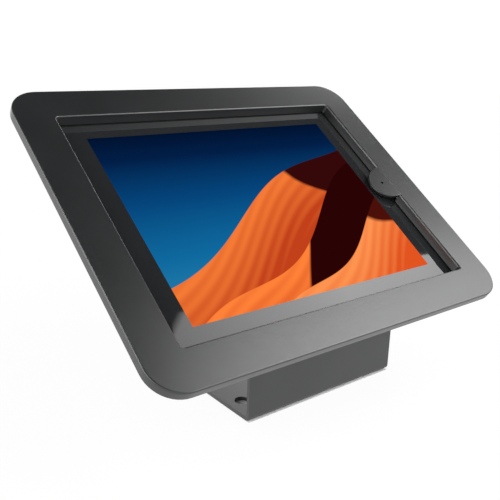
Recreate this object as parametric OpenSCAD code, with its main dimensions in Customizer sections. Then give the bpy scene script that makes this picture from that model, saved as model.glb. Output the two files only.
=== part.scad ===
// Tablet security kiosk stand: a lockable frame and tray hold a tablet on a folded desk bracket.
// Millimetres. +Z is up and the user stands at -Y.
// The origin is the middle of the four desk holes on the underside of the bracket.

/* [Tablet] */
// Width of the tablet
tablet_w = 241.2; // [210:0.2:280]
// Height of the tablet
tablet_h = 185.7; // [160:0.1:210]
// Thickness of the tablet
tablet_t = 9.4; // [8:0.1:12]
// Corner radius of the tablet
tablet_r = 12; // [6:0.5:16]
// Black border of the glass at the sides
bezel_x = 22.05; // [18:0.05:26]
// Black border of the glass at the top and bottom
bezel_y = 18.95; // [12:0.05:22]

/* [Front frame] */
// Border of the frame at the sides of the window
border_x = 24.5; // [21:0.5:40]
// Border of the frame above and below the window
border_y = 24.4; // [20:0.2:40]
// How far the frame covers the tablet at the sides
lap_x = 5.1; // [3:0.1:8]
// How far the frame covers the tablet above and below
lap_y = 5.25; // [3:0.05:8]
// Outer corner radius
frame_r = 20; // [14:1:26]
// Height of the face above the tablet glass
face_rise = 7.3; // [6.4:0.1:9]
// Depth of the outer skirt
frame_depth = 6.2; // [5.4:0.1:7]
// Thickness of the face
face_t = 2.0; // [1.6:0.1:2.4]
// Thickness of the outer skirt
skirt_t = 2.5; // [1.5:0.1:3]
// Corner radius of the window
window_r = 2.5; // [1.5:0.5:6]
// Thickness of the wall round the window
window_wall = 2.0; // [1.5:0.1:2.5]
// Bevel of the outer front edge
frame_bevel = 0.6; // [0.4:0.1:1.5]
// Bevel of the window edge
window_bevel = 0.6; // [0.3:0.1:1]

/* [Home button tab] */
// Radius of the half-round tab that hides the home button
tab_r = 15; // [12:0.5:16]
// How far the tab is bent down from the face
tab_tilt = 15; // [5:1:16]
// Diameter of the pin hole over the button
pin_hole_d = 2.0; // [1.5:0.1:3]

/* [Rear tray] */
// Thickness of the tray walls and flange
tray_t = 2.0; // [1.6:0.1:2.4]
// Thickness of the tray floor
floor_t = 2.5; // [2:0.1:4]
// Foam behind the tablet
pad_t = 2.0; // [1.6:0.1:4]

/* [Desk bracket] */
// Width of the bracket
base_w = 122; // [100:1:150]
// Depth of the plate on the desk
base_d = 120; // [100:1:150]
// Height of the front wall
wall_h = 50; // [40:1:80]
// Lean of the screen from the desk
tilt = 35; // [25:1:50]
// Thickness of the folded sheet
sheet_t = 2.5; // [2:0.1:3]
// Length of the sloping plate
slope_l = 118; // [100:1:140]
// Distance up the slope from the front bend to the middle of the tray
reach = 87.2; // [76:0.2:98]
// Diameter of the desk holes
desk_hole_d = 9; // [6:0.5:10]
// Desk holes from the side edges of the plate
hole_edge_x = 10; // [8:0.5:20]
// Desk holes from the front and rear edges of the plate
hole_edge_y = 20; // [12:0.5:30]

/* [Hinge] */
// Place of each hinge from the middle
hinge_x = 70; // [50:1:85]
// Radius of the hinge pins
pin_r = 1.5; // [1.2:0.1:1.8]

/* [Hidden] */
$fn = 96;
fit_gap = 0.05;
press_gap = 0.01;
slip_gap = 0.15;
part_gap = 0.3;
seam = 0.2;
join = 0.1;
eps = 0.5;

// Window, frame and lit screen follow the tablet
window_w = tablet_w - 2 * lap_x;
window_h = tablet_h - 2 * lap_y;
frame_w = window_w + 2 * border_x;
frame_h = window_h + 2 * border_y;
screen_w = tablet_w - 2 * bezel_x;
screen_h = tablet_h - 2 * bezel_y;

// Levels above the tablet glass, square to the screen
face_n = face_rise;
under_n = face_n - face_t;
back_n = face_n - frame_depth;
flange_n = back_n - seam;
flange_low = flange_n - tray_t;
bay = under_n - flange_n;
gasket_low = join;
gasket_t = 0.7;
gasket_n = gasket_low + gasket_t;
floor_n = -tablet_t - pad_t;
tray_low = floor_n - floor_t;

// Tray, flange and pads
pad_gap = 1.5;
pad_l = 17;
pad_top = 1.5;
pan_in_w = tablet_w + 2 * pad_gap;
pan_in_h = tablet_h + 2 * pad_gap;
pan_in_r = tablet_r + pad_gap;
pan_w = pan_in_w + 2 * tray_t;
pan_h = pan_in_h + 2 * tray_t;
pan_r = pan_in_r + tray_t;
flange_in_x = 1.5;
flange_in_y = 1.8;
flange_w = frame_w - 2 * flange_in_x;
flange_h = frame_h - 2 * flange_in_y;
flange_r = frame_r - flange_in_x;
foam_w = 0.7 * tablet_w;
foam_r = 6;

// Tablet inner levels
glass_t = 1.0;
shell_t = 1.0;
rim_t = 1.2;
rim_drop = 0.2;
glass_gap = 0.2;
display_t = 2.5;
display_edge = 4;
shell_floor_n = -tablet_t + shell_t;
shell_in_w = tablet_w - 2 * rim_t;
shell_in_h = tablet_h - 2 * rim_t;
shell_in_r = tablet_r - rim_t;
display_low = -glass_t - display_t;
battery_w = 0.96 * screen_w;
battery_h = 0.88 * screen_h;
board_t = 1.2;
board_edge = 1.2;
board_x = screen_w / 2 + display_edge + part_gap;
board_w = shell_in_w / 2 - board_x - board_edge;
board_h = 0.8 * tablet_h;
switch_s = 6;

// Home button
home_x = (screen_w / 2 + tablet_w / 2) / 2;
home_r = 5.4;
home_gap = 0.2;
home_rim = 0.8;
home_rim_t = 0.6;
home_top = -join;
home_deep = 1.0;
home_low = -glass_t - home_deep;
home_travel = 0.4;

// Tab of the face over the home button, and the gap that it leaves in the window wall
tab_out = 0.8;
tab_lap = 0.3;
notch_gap = 1.4;
notch_h = 2 * (tab_r + notch_gap);

// Side buttons
button_h = 3;
button_n = -0.45 * tablet_t;
button_out = 0.5;
button_in = 1.0;
button_gap = 0.2;
button_lip = 1.0;
power_l = 10;
power_down = 24;
power_y = tablet_h / 2 - power_down;
power_travel = 0.3;
volume_l = 18;
volume_in = 36;
volume_x = -tablet_w / 2 + volume_in;
rocker_gap = 0.5;

// Lock in the space between the tray and the skirt
lock_room = frame_h / 2 - skirt_t - pan_h / 2;
lock_in = 20.5;
lock_x = window_w / 2 - lock_in;
lock_y = -pan_h / 2 - 0.4525 * lock_room;
lock_r = 0.425 * lock_room;
lock_neck_r = 0.35 * lock_room;
lock_back = -9.5;
clip_groove_r = 0.297 * lock_room;
clip_r = 0.45 * lock_room;
plug_r = 0.22 * lock_room;
plug_recess = 0.3;
key_w = 1.0;
key_h = 1.3 * plug_r;
key_deep = 6;
clip_n1 = flange_n + 0.16 * bay;
lock_front = flange_n + 0.34 * bay;
keeper_n0 = flange_n + 0.18 * bay;
keeper_n1 = flange_n + 0.385 * bay;
cam_n0 = flange_n + 0.455 * bay;
cam_n1 = flange_n + 0.75 * bay;
cam_head_n = flange_n + 0.92 * bay;
cam_room = 1.0;
cam_reach = -lock_y - window_h / 2 - window_wall - cam_room;
cam_hub_r = 0.3 * lock_room;
cam_w = 0.38 * lock_room;
drive_s = 1.24 * plug_r;
cam_screw_r = 0.345 * plug_r;
cam_head_r = 0.9 * plug_r;
cam_screw_l = 2.8;
cam_slot_w = 0.6;
cam_slot_t = 0.4;
keeper_x = lock_x + clip_r + part_gap;
keeper_w = 8;
keeper_t = 1.0;
keeper_v0 = -frame_h / 2 + skirt_t;
keeper_lip = lock_y + cam_w / 2;

// Hinge along the upper back edge
knuckle_wall = 1.3;
knuckle_out = 0.6;
knuckle_r = pin_r + knuckle_wall;
hinge_y = frame_h / 2 - flange_in_y + knuckle_r + knuckle_out;
hinge_n = back_n - knuckle_r - eps;
hinge_web = 1.2;
leaf_t = 1.6;
leaf_l = 10;
knuckle_l = 16;
outer_l = 10;
knuckle_gap = 0.2;
pin_l = knuckle_l + 2 * (outer_l + knuckle_gap);

// Bracket bends, desk holes and fixings
bend_in = 0.8;
bend_out = bend_in + sheet_t;
bend_run = bend_out * tan((90 - tilt) / 2);
bend_flats = 4;
base_corner = 5;
slope_corner = 5;
desk_dx = base_w - 2 * hole_edge_x;
desk_dy = base_d - 2 * hole_edge_y;
fix_edge = 23.5;
fix_low = 25;
fix_high = 18;
fix_x = base_w / 2 - fix_edge;
fix_y0 = -reach + fix_low;
fix_y1 = -reach + slope_l - fix_high;
fix_r = 2.0;
fix_head_r = 3.75;
fix_head_t = 0.75 * pad_t;
fix_key_r = 1.45;
fix_key_t = 1.0;
fix_nut_af = 7;
fix_nut_t = 3.2;
fix_tail = 1.0;
fix_end = tray_low - sheet_t - fix_nut_t - fix_tail;
foam_edge = 3.7;
foam_h = 2 * (fix_head_r + foam_edge - fix_y0);

// Charging slot in the tray wall and the socket behind it
slot_w = 34;
slot_n0 = -tablet_t;
slot_n1 = flange_low - part_gap;
socket_w = 22;
socket_h = 3;

// Place of the tablet glass in the stand
enc_y = -base_d / 2 + reach * cos(tilt) + tray_low * sin(tilt);
enc_z = wall_h + reach * sin(tilt) - tray_low * cos(tilt);

// Places what it holds in the plane of the tablet glass
module enc() {
  translate([0, enc_y, enc_z])
    rotate([tilt, 0, 0])
      children();
}

// Rounded rectangle about the middle
module rrect(w, h, r) {
  union() {
    square([w - 2 * r, h], center = true);
    square([w, h - 2 * r], center = true);
    for (sx = [-1, 1], sy = [-1, 1])
      translate([sx * (w / 2 - r), sy * (h / 2 - r)])
        circle(r);
  }
}

// Rounded slab between two levels
module slab(w, h, r, n0, n1) {
  translate([0, 0, n0])
    linear_extrude(n1 - n0)
      rrect(w, h, r);
}

// Rounded ring between two levels
module ring_slab(w, h, r, in_w, in_h, in_r, n0, n1) {
  translate([0, 0, n0])
    linear_extrude(n1 - n0)
      difference() {
        rrect(w, h, r);
        rrect(in_w, in_h, in_r);
      }
}

// Box given by its two corners
module span(x0, x1, y0, y1, n0, n1) {
  translate([x0, y0, n0])
    cube([x1 - x0, y1 - y0, n1 - n0]);
}

// Wedge along X that bevels the edge it is centred on by c each way
module bevel_bar(l, c) {
  rotate([90, 0, 90])
    linear_extrude(l, center = true)
      polygon([[c, c], [c, -2 * c], [-2 * c, c]]);
}

// Quarter ring of the same wedge; s is 1 for an outer corner and -1 for an inner one
module bevel_corner(r, c, s) {
  rotate_extrude(angle = 90)
    polygon([[r + s * c, c], [r + s * c, -2 * c], [r - s * 2 * c, c]]);
}

// Places a copy at each rounded corner, turned to face it
module at_corners(w, h, r) {
  translate([w / 2 - r, h / 2 - r, 0])
    children();
  translate([-w / 2 + r, h / 2 - r, 0])
    rotate(90)
      children();
  translate([-w / 2 + r, -h / 2 + r, 0])
    rotate(180)
      children();
  translate([w / 2 - r, -h / 2 + r, 0])
    rotate(270)
      children();
}

// Cutter for the bevel along the outer front edge
module frame_bevels() {
  translate([0, 0, face_n]) {
    for (a = [0, 180])
      rotate(a)
        translate([0, frame_h / 2, 0])
          bevel_bar(frame_w - 2 * frame_r, frame_bevel);
    for (a = [90, 270])
      rotate(a)
        translate([0, frame_w / 2, 0])
          bevel_bar(frame_h - 2 * frame_r, frame_bevel);
    at_corners(frame_w, frame_h, frame_r)
      bevel_corner(frame_r, frame_bevel, 1);
  }
}

// Cutter for the bevel along the window edge, which stops at the home button tab
module window_bevels() {
  side_l = (window_h - 2 * window_r - notch_h) / 2;
  translate([0, 0, face_n]) {
    for (a = [0, 180])
      rotate(a)
        translate([0, -window_h / 2, 0])
          bevel_bar(window_w - 2 * window_r, window_bevel);
    rotate(270)
      translate([0, -window_w / 2, 0])
        bevel_bar(window_h - 2 * window_r, window_bevel);
    for (s = [-1, 1])
      translate([0, s * (notch_h + side_l) / 2, 0])
        rotate(90)
          translate([0, -window_w / 2, 0])
            bevel_bar(side_l, window_bevel);
    at_corners(window_w, window_h, window_r)
      bevel_corner(window_r, window_bevel, -1);
  }
}

// Quarter block that rounds an outer corner standing at the origin
module corner_cut(r, t) {
  difference() {
    translate([-eps, -eps, -t])
      cube([r + eps, r + eps, 2 * t]);
    translate([r, r, -t - eps])
      cylinder(h = 2 * t + 2 * eps, r = r);
  }
}

// Side view of the folded bracket sheet, with the upper bend in short flats
module bracket_profile() {
  front = -base_d / 2;
  run = sheet_t * tan((90 - tilt) / 2);
  bend_x = front + bend_out;
  bend_z = wall_h - bend_run;
  turn = (90 - tilt) / bend_flats;
  difference() {
    polygon(concat(
      [[front, 0], [base_d / 2, 0], [base_d / 2, sheet_t], [front + sheet_t, sheet_t]],
      [[front + sheet_t, wall_h - run]],
      [[front + slope_l * cos(tilt) + sheet_t * sin(tilt),
        wall_h + slope_l * sin(tilt) - sheet_t * cos(tilt)]],
      [[front + slope_l * cos(tilt), wall_h + slope_l * sin(tilt)]],
      [for (i = [0 : bend_flats])
        [bend_x + bend_out * cos(90 + tilt + i * turn), bend_z + bend_out * sin(90 + tilt + i * turn)]]
    ));
    translate([front, 0])
      difference() {
        translate([-eps, -eps])
          square(bend_out + eps);
        translate([bend_out, bend_out])
          circle(bend_out);
      }
  }
}

// Places a copy at each fixing between the tray and the bracket
module at_fixings() {
  for (s = [-1, 1], v = [fix_y0, fix_y1])
    translate([s * fix_x, v, 0])
      children();
}

// Bar along X with its middle at x
module x_rod(x, l, r) {
  translate([x - l / 2, 0, 0])
    rotate([0, 90, 0])
      cylinder(h = l, r = r);
}

module mount_bracket() {
  color("#3c3d3f")
    difference() {
      rotate([90, 0, 90])
        linear_extrude(base_w, center = true)
          bracket_profile();
      for (sx = [-1, 1], sy = [-1, 1])
        translate([sx * desk_dx / 2, sy * desk_dy / 2, -eps])
          cylinder(h = sheet_t + 2 * eps, d = desk_hole_d);
      for (s = [0, 1])
        mirror([s, 0, 0])
          translate([base_w / 2, base_d / 2, 0])
            rotate(180)
              corner_cut(base_corner, 2 * sheet_t);
      enc() {
        at_fixings()
          translate([0, 0, tray_low - sheet_t - eps])
            cylinder(h = sheet_t + 2 * eps, r = fix_r + slip_gap);
        for (s = [0, 1])
          mirror([s, 0, 0])
            translate([base_w / 2, -reach + slope_l, tray_low - sheet_t / 2])
              rotate(45)
                cube([2 * slope_corner, 4 * slope_corner, 2 * sheet_t], center = true);
      }
    }
}

module bracket_screws() {
  color("#a9abad")
    enc()
      at_fixings()
        difference() {
          union() {
            translate([0, 0, floor_n])
              cylinder(h = fix_head_t, r = fix_head_r);
            translate([0, 0, fix_end])
              cylinder(h = floor_n - fix_end + join, r = fix_r);
          }
          translate([0, 0, floor_n + fix_head_t - fix_key_t])
            cylinder(h = fix_key_t + eps, r = fix_key_r, $fn = 6);
        }
}

module bracket_nuts() {
  color("#a9abad")
    enc()
      at_fixings()
        translate([0, 0, tray_low - sheet_t - fix_nut_t])
          difference() {
            cylinder(h = fix_nut_t, r = fix_nut_af / 2 / cos(30), $fn = 6);
            translate([0, 0, -eps])
              cylinder(h = fix_nut_t + 2 * eps, r = fix_r + fit_gap);
          }
}

module rear_tray() {
  color("#343537")
    enc()
      difference() {
        union() {
          slab(flange_w, flange_h, flange_r, flange_low, flange_n);
          slab(pan_w, pan_h, pan_r, tray_low, flange_n);
          for (s = [-1, 1]) {
            span(s * hinge_x - knuckle_l / 2, s * hinge_x + knuckle_l / 2,
                 hinge_y - leaf_l, hinge_y, hinge_n - leaf_t, flange_low);
            translate([0, hinge_y, hinge_n])
              x_rod(s * hinge_x, knuckle_l, knuckle_r);
          }
        }
        slab(pan_in_w, pan_in_h, pan_in_r, floor_n, flange_n + eps);
        for (s = [-1, 1])
          translate([0, hinge_y, hinge_n])
            x_rod(s * hinge_x, knuckle_l + 2 * eps, pin_r + press_gap);
        at_fixings()
          translate([0, 0, tray_low - eps])
            cylinder(h = floor_t + 2 * eps, r = fix_r + slip_gap);
        span(pan_in_w / 2 - eps, pan_w / 2 + eps, -slot_w / 2, slot_w / 2, slot_n0, slot_n1);
        translate([lock_x, lock_y, flange_low - eps])
          cylinder(h = tray_t + 2 * eps, r = lock_neck_r + fit_gap);
      }
}

module back_pad() {
  color("#2a2a2b")
    enc()
      difference() {
        slab(foam_w, foam_h, foam_r, floor_n, -tablet_t);
        at_fixings()
          translate([0, 0, floor_n - eps])
            cylinder(h = pad_t + 2 * eps, r = fix_head_r + 4 * part_gap);
      }
}

module corner_pads() {
  color("#2a2a2b")
    enc()
      intersection() {
        ring_slab(pan_in_w - 2 * join, pan_in_h - 2 * join, pan_in_r - join, tablet_w + 2 * join,
                  tablet_h + 2 * join, tablet_r + join, floor_n, -pad_top);
        for (sx = [-1, 1], sy = [-1, 1])
          translate([sx * pan_in_w / 2, sy * pan_in_h / 2, 0])
            cube([2 * pad_l, 2 * pad_l, -4 * floor_n], center = true);
      }
}

module hinge_pins() {
  color("#b4b6b8")
    enc()
      for (s = [-1, 1])
        translate([0, hinge_y, hinge_n])
          x_rod(s * hinge_x, pin_l, pin_r);
}

module front_frame() {
  color("#3a3b3d")
    enc()
      union() {
        difference() {
          union() {
            ring_slab(frame_w, frame_h, frame_r, window_w, window_h, window_r, under_n, face_n);
            ring_slab(frame_w, frame_h, frame_r, frame_w - 2 * skirt_t, frame_h - 2 * skirt_t,
                      frame_r - skirt_t, back_n, under_n + join);
            ring_slab(window_w + 2 * window_wall, window_h + 2 * window_wall,
                      window_r + window_wall, window_w, window_h, window_r, gasket_n,
                      under_n + join);
            for (s = [-1, 1], k = [-1, 1])
              hinge_ear(s * hinge_x + k * (knuckle_l + outer_l + 2 * knuckle_gap) / 2);
          }
          span(window_w / 2 - eps, window_w / 2 + window_wall + eps, -notch_h / 2, notch_h / 2,
               gasket_n - eps, under_n);
          frame_bevels();
          window_bevels();
          for (s = [-1, 1])
            translate([0, hinge_y, hinge_n])
              x_rod(s * hinge_x, pin_l + 2 * eps, pin_r + fit_gap);
        }
        home_tab();
      }
}

// Half-round tab at the window edge, bent down over the home button
module home_tab() {
  difference() {
    translate([window_w / 2, 0, face_n - join])
      rotate([0, -tab_tilt, 0])
        translate([0, 0, -face_t])
          linear_extrude(face_t)
            intersection() {
              translate([-tab_out, 0])
                circle(tab_r);
              translate([-2 * tab_r, -2 * tab_r])
                square([2 * tab_r + tab_lap, 4 * tab_r]);
            }
    translate([home_x, 0, 0])
      cylinder(h = face_n + eps, d = pin_hole_d);
  }
}

// Knuckle of the frame with the web that carries it
module hinge_ear(x) {
  span(x - outer_l / 2, x + outer_l / 2, frame_h / 2 - hinge_web, frame_h / 2, hinge_n,
       back_n + eps);
  translate([0, hinge_y, hinge_n])
    x_rod(x, outer_l, knuckle_r);
}

module window_gasket() {
  color("#1b1b1c")
    enc()
      difference() {
        ring_slab(window_w + 2 * window_wall - 2 * join, window_h + 2 * window_wall - 2 * join,
                  window_r + window_wall - join, window_w + 2 * part_gap, window_h + 2 * part_gap,
                  window_r + part_gap, gasket_low, gasket_n);
        span(window_w / 2 - eps, window_w / 2 + window_wall + eps, -notch_h / 2, notch_h / 2,
             gasket_low - eps, gasket_n + eps);
      }
}

module latch_keeper() {
  color("#b4b6b8")
    enc() {
      span(keeper_x, keeper_x + keeper_w, keeper_v0, keeper_v0 + keeper_t, keeper_n0, under_n);
      span(keeper_x, keeper_x + keeper_w, keeper_v0, keeper_lip, keeper_n0, keeper_n1);
    }
}

module lock_body() {
  bore_r = plug_r + fit_gap;
  color("#b4b6b8")
    enc()
      translate([lock_x, lock_y, 0])
        rotate_extrude()
          polygon([[bore_r, lock_back], [lock_r, lock_back], [lock_r, flange_low],
                   [lock_neck_r, flange_low], [lock_neck_r, flange_n], [clip_groove_r, flange_n],
                   [clip_groove_r, clip_n1], [lock_neck_r, clip_n1], [lock_neck_r, lock_front],
                   [bore_r, lock_front]]);
}

module lock_clip() {
  gap_w = 1.6 * clip_groove_r;
  color("#8d8f91")
    enc()
      translate([lock_x, lock_y, flange_n])
        difference() {
          cylinder(h = clip_n1 - flange_n, r = clip_r);
          translate([0, 0, -eps])
            cylinder(h = bay, r = clip_groove_r + press_gap);
          translate([-gap_w / 2, 0, -eps])
            cube([gap_w, 2 * clip_r, bay]);
        }
}

module lock_plug() {
  plug_back = lock_back + plug_recess;
  color("#c4a860")
    enc()
      translate([lock_x, lock_y, 0])
        difference() {
          union() {
            translate([0, 0, plug_back])
              cylinder(h = cam_n0 - join - plug_back, r = plug_r);
            translate([-drive_s / 2, -drive_s / 2, cam_n0 - 2 * join])
              cube([drive_s, drive_s, cam_n1 - cam_n0 + 2 * join]);
          }
          translate([0, 0, cam_n1 - cam_screw_l - join])
            cylinder(h = cam_screw_l + eps, r = cam_screw_r + press_gap);
          translate([-key_w / 2, -key_h / 2, plug_back - eps])
            cube([key_w, key_h, key_deep + eps]);
        }
}

module lock_cam() {
  arm = cam_reach - cam_w / 2;
  color("#b4b6b8")
    enc()
      translate([lock_x, lock_y, cam_n0])
        linear_extrude(cam_n1 - cam_n0)
          difference() {
            union() {
              circle(cam_hub_r);
              translate([-arm, -cam_w / 2])
                square([arm, cam_w]);
              translate([-arm, 0])
                circle(cam_w / 2);
            }
            square(drive_s + 2 * press_gap, center = true);
          }
}

module cam_screw() {
  color("#a9abad")
    enc()
      translate([lock_x, lock_y, 0])
        difference() {
          union() {
            translate([0, 0, cam_n1])
              cylinder(h = cam_head_n - cam_n1, r = cam_head_r);
            translate([0, 0, cam_n1 - cam_screw_l])
              cylinder(h = cam_screw_l + join, r = cam_screw_r);
          }
          translate([-cam_slot_w / 2, -2 * cam_head_r, cam_head_n - cam_slot_t])
            cube([cam_slot_w, 4 * cam_head_r, 1]);
        }
}

module tablet_shell() {
  low = button_n - button_h / 2 - button_gap;
  high = button_n + button_h / 2 + button_gap;
  color("#c9cbcd")
    enc()
      difference() {
        slab(tablet_w, tablet_h, tablet_r, -tablet_t, -rim_drop);
        slab(shell_in_w, shell_in_h, shell_in_r, shell_floor_n, eps);
        span(-tablet_w / 2 - eps, -tablet_w / 2 + rim_t + eps,
             power_y - power_l / 2 - button_gap, power_y + power_l / 2 + button_gap, low, high);
        span(volume_x - volume_l / 2 - button_gap, volume_x + volume_l / 2 + button_gap,
             tablet_h / 2 - rim_t - eps, tablet_h / 2 + eps, low, high);
        span(tablet_w / 2 - rim_t - eps, tablet_w / 2 + eps, -socket_w / 2, socket_w / 2,
             button_n - socket_h / 2, button_n + socket_h / 2);
      }
}

module tablet_glass() {
  color("#0b0c0d")
    enc()
      difference() {
        slab(shell_in_w - 2 * glass_gap, shell_in_h - 2 * glass_gap, shell_in_r - glass_gap,
             -glass_t, 0);
        translate([home_x, 0, -glass_t - eps])
          cylinder(h = glass_t + 2 * eps, r = home_r + home_gap);
      }
}

module tablet_display() {
  w = screen_w / 2 + display_edge;
  h = screen_h / 2 + display_edge;
  color("#20303c")
    enc()
      span(-w, w, -h, h, display_low, -glass_t);
}

module tablet_battery() {
  color("#28292b")
    enc()
      span(-battery_w / 2, battery_w / 2, -battery_h / 2, battery_h / 2,
           shell_floor_n, display_low);
}

module tablet_board() {
  color("#1d4a33")
    enc() {
      span(board_x, board_x + board_w, -board_h / 2, board_h / 2,
           shell_floor_n, shell_floor_n + board_t);
      span(home_x - switch_s / 2, home_x + switch_s / 2, -switch_s / 2, switch_s / 2,
           shell_floor_n, home_low - home_travel - join);
    }
}

module home_button() {
  color("#0e0f10")
    enc()
      translate([home_x, 0, home_low]) {
        cylinder(h = home_top - home_low, r = home_r);
        cylinder(h = home_rim_t, r = home_r + home_rim);
      }
}

module power_button() {
  inner = -tablet_w / 2 + rim_t;
  color("#101112")
    enc() {
      span(inner - rim_t - button_out, inner + button_in, power_y - power_l / 2,
           power_y + power_l / 2, button_n - button_h / 2, button_n + button_h / 2);
      span(inner + part_gap, inner + button_in, power_y - power_l / 2 - button_lip,
           power_y + power_l / 2 + button_lip, button_n - button_h / 2 - button_lip,
           button_n + button_h / 2 + button_lip);
    }
}

module volume_rocker() {
  inner = tablet_h / 2 - rim_t;
  color("#101112")
    enc() {
      span(volume_x - volume_l / 2, volume_x + volume_l / 2, inner - rocker_gap - button_in,
           inner + rim_t + button_out, button_n - button_h / 2, button_n + button_h / 2);
      span(volume_x - volume_l / 2 - button_lip, volume_x + volume_l / 2 + button_lip,
           inner - rocker_gap - button_in, inner - rocker_gap,
           button_n - button_h / 2 - button_lip, button_n + button_h / 2 + button_lip);
    }
}

mount_bracket();
bracket_screws();
bracket_nuts();
rear_tray();
back_pad();
corner_pads();
hinge_pins();
front_frame();
window_gasket();
latch_keeper();
lock_body();
lock_clip();
lock_plug();
lock_cam();
cam_screw();
tablet_shell();
tablet_glass();
tablet_display();
tablet_battery();
tablet_board();
home_button();
power_button();
volume_rocker();
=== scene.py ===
import math

import bmesh
import bpy
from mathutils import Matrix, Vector


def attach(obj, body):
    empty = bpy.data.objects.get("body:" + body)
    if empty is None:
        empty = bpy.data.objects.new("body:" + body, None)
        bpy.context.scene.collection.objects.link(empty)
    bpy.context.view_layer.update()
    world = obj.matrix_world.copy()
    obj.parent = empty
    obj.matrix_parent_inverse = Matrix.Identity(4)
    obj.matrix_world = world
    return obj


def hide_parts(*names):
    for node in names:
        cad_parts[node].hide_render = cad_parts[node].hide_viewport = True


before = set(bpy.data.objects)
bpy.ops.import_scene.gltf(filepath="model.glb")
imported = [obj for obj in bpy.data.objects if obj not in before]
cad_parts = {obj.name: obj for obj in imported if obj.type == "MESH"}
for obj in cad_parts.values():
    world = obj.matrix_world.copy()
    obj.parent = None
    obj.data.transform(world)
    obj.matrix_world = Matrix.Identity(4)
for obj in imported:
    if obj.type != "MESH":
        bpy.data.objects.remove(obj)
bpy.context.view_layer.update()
mm = 0.001
slack = 0.01  # mm that a corner may lie off the place where it is looked for
weld = 0.002  # mm within which corners are merged
past = 0.5  # mm that a cutter or a joined block reaches beyond the face it meets
quarterTurn = math.pi / 2
hexSides, hexTurn = 6, math.pi / 6  # nuts and sockets, and the angle that they are set at

# The enclosure leans back: its pieces are modelled flat and leaned at the end
lean = {
    "angle": math.radians(35),
    "glassMid": (0, 3.457, 111.402),  # middle of the tablet glass
}

# Places that several pieces keep to, in mm from the middle of the glass
shared = {
    "homeX": 109.575, "lock": (95, -102.3, 0),
    "tabletBack": -9.4, "trayFloor": -11.4, "trayLow": -13.9,
}


# Small helpers

def linear(hexColour):
    parts = [int(hexColour[i:i + 2], 16) / 255 for i in (1, 3, 5)]
    return tuple(c / 12.92 if c < 0.04045 else ((c + 0.055) / 1.055) ** 2.4 for c in parts) + (1,)


def addNode(tree, kind, settings=None, values=None, links=None):
    node = tree.nodes.new(kind)
    for key, value in (settings or {}).items():
        setattr(node, key, value)
    for key, value in (values or {}).items():
        node.inputs[key].default_value = value
    for key, source in (links or {}).items():
        tree.links.new(source, node.inputs[key])
    return node


# settings that many nodes share
add, multiply, multiplyAdd, sine = [{"operation": kind} for kind in ("ADD", "MULTIPLY", "MULTIPLY_ADD", "SINE")]
colours = {"data_type": "RGBA"}


def fillRamp(ramp, stops):
    while len(ramp.elements) < len(stops):
        ramp.elements.new(0.5)
    for stop, (spot, colour) in zip(ramp.elements, stops):
        stop.position, stop.color = spot, colour


def newMaterial(name, values):
    material = bpy.data.materials.new(name)
    material.use_nodes = True
    tree = material.node_tree
    shader = tree.nodes["Principled BSDF"]
    for key, value in values.items():
        shader.inputs[key].default_value = value
    place = addNode(tree, "ShaderNodeTexCoord").outputs["Object"]
    return material, tree, shader, place


def selectOnly(piece):
    bpy.ops.object.select_all(action="DESELECT")
    piece.select_set(True)
    bpy.context.view_layer.objects.active = piece


def applyModifier(piece, modifier):
    bpy.context.view_layer.objects.active = piece
    bpy.ops.object.modifier_apply(modifier=modifier.name)


def pick(kind, test):
    # selects what lies wholly where the test says, with places in mm
    bpy.ops.mesh.select_mode(type=kind)
    bpy.ops.mesh.select_all(action="DESELECT")
    shape = bmesh.from_edit_mesh(bpy.context.object.data)
    for item in {"VERT": shape.verts, "EDGE": shape.edges, "FACE": shape.faces}[kind]:
        corners = [item] if kind == "VERT" else item.verts
        if all(test(corner.co / mm) for corner in corners):
            item.select_set(True)
    shape.select_flush_mode()
    bmesh.update_edit_mesh(bpy.context.object.data)


def startPiece(name):
    if bpy.context.object and bpy.context.object.mode == "EDIT":
        bpy.ops.object.mode_set(mode="OBJECT")
    bpy.ops.object.select_all(action="DESELECT")
    bpy.ops.mesh.primitive_plane_add(size=mm)
    piece = bpy.context.object
    piece.name = piece.data.name = name
    bpy.ops.object.mode_set(mode="EDIT")
    bpy.ops.mesh.delete(type="VERT")
    return piece


# An outline is a rounded rectangle: width, height, corner radius and level

def onOutline(point, width, height, radius, level):
    across = abs(point.x) - width / 2 + radius
    along = abs(point.y) - height / 2 + radius
    corner = math.hypot(max(across, 0), max(along, 0)) + min(max(across, along), 0)
    return abs(point.z - level) < slack and abs(corner - radius) < slack


def addOutline(outline, steps=12):
    width, height, radius, level = outline
    spot = (0, 0, level * mm)
    bpy.ops.mesh.select_all(action="DESELECT")
    bpy.ops.mesh.primitive_plane_add(size=mm, location=spot)
    bpy.ops.transform.resize(value=(width, height, 1), center_override=spot)
    bpy.ops.mesh.bevel(offset=radius * mm, segments=steps, affect="VERTICES")
    bpy.ops.mesh.delete(type="ONLY_FACE")


def shrink(outline, margin):
    width, height, radius = outline
    return (width - 2 * margin, height - 2 * margin, radius - margin)


def stringRings(rings, addRing, closed=False):
    # rings are bridged while strung out along Z, so that nested ones don't twist, then slid to their levels
    first, step = 500, 10
    spread = [first + step * turn for turn in range(len(rings))]
    for ring, level in zip(rings, spread):
        addRing((*ring[:-1], level))
    pairs = list(zip(spread, spread[1:])) + ([(spread[-1], spread[0])] if closed else [])
    for pair in pairs:
        pick("EDGE", lambda p: min(abs(p.z - level) for level in pair) < slack)
        bpy.ops.mesh.bridge_edge_loops()
    for level in [] if closed else (spread[0], spread[-1]):
        pick("EDGE", lambda p: abs(p.z - level) < slack)
        bpy.ops.mesh.edge_face_add()
    for ring, level in zip(rings, spread):
        pick("VERT", lambda p: abs(p.z - level) < slack)
        bpy.ops.transform.translate(value=(0, 0, (ring[-1] - level) * mm))


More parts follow.
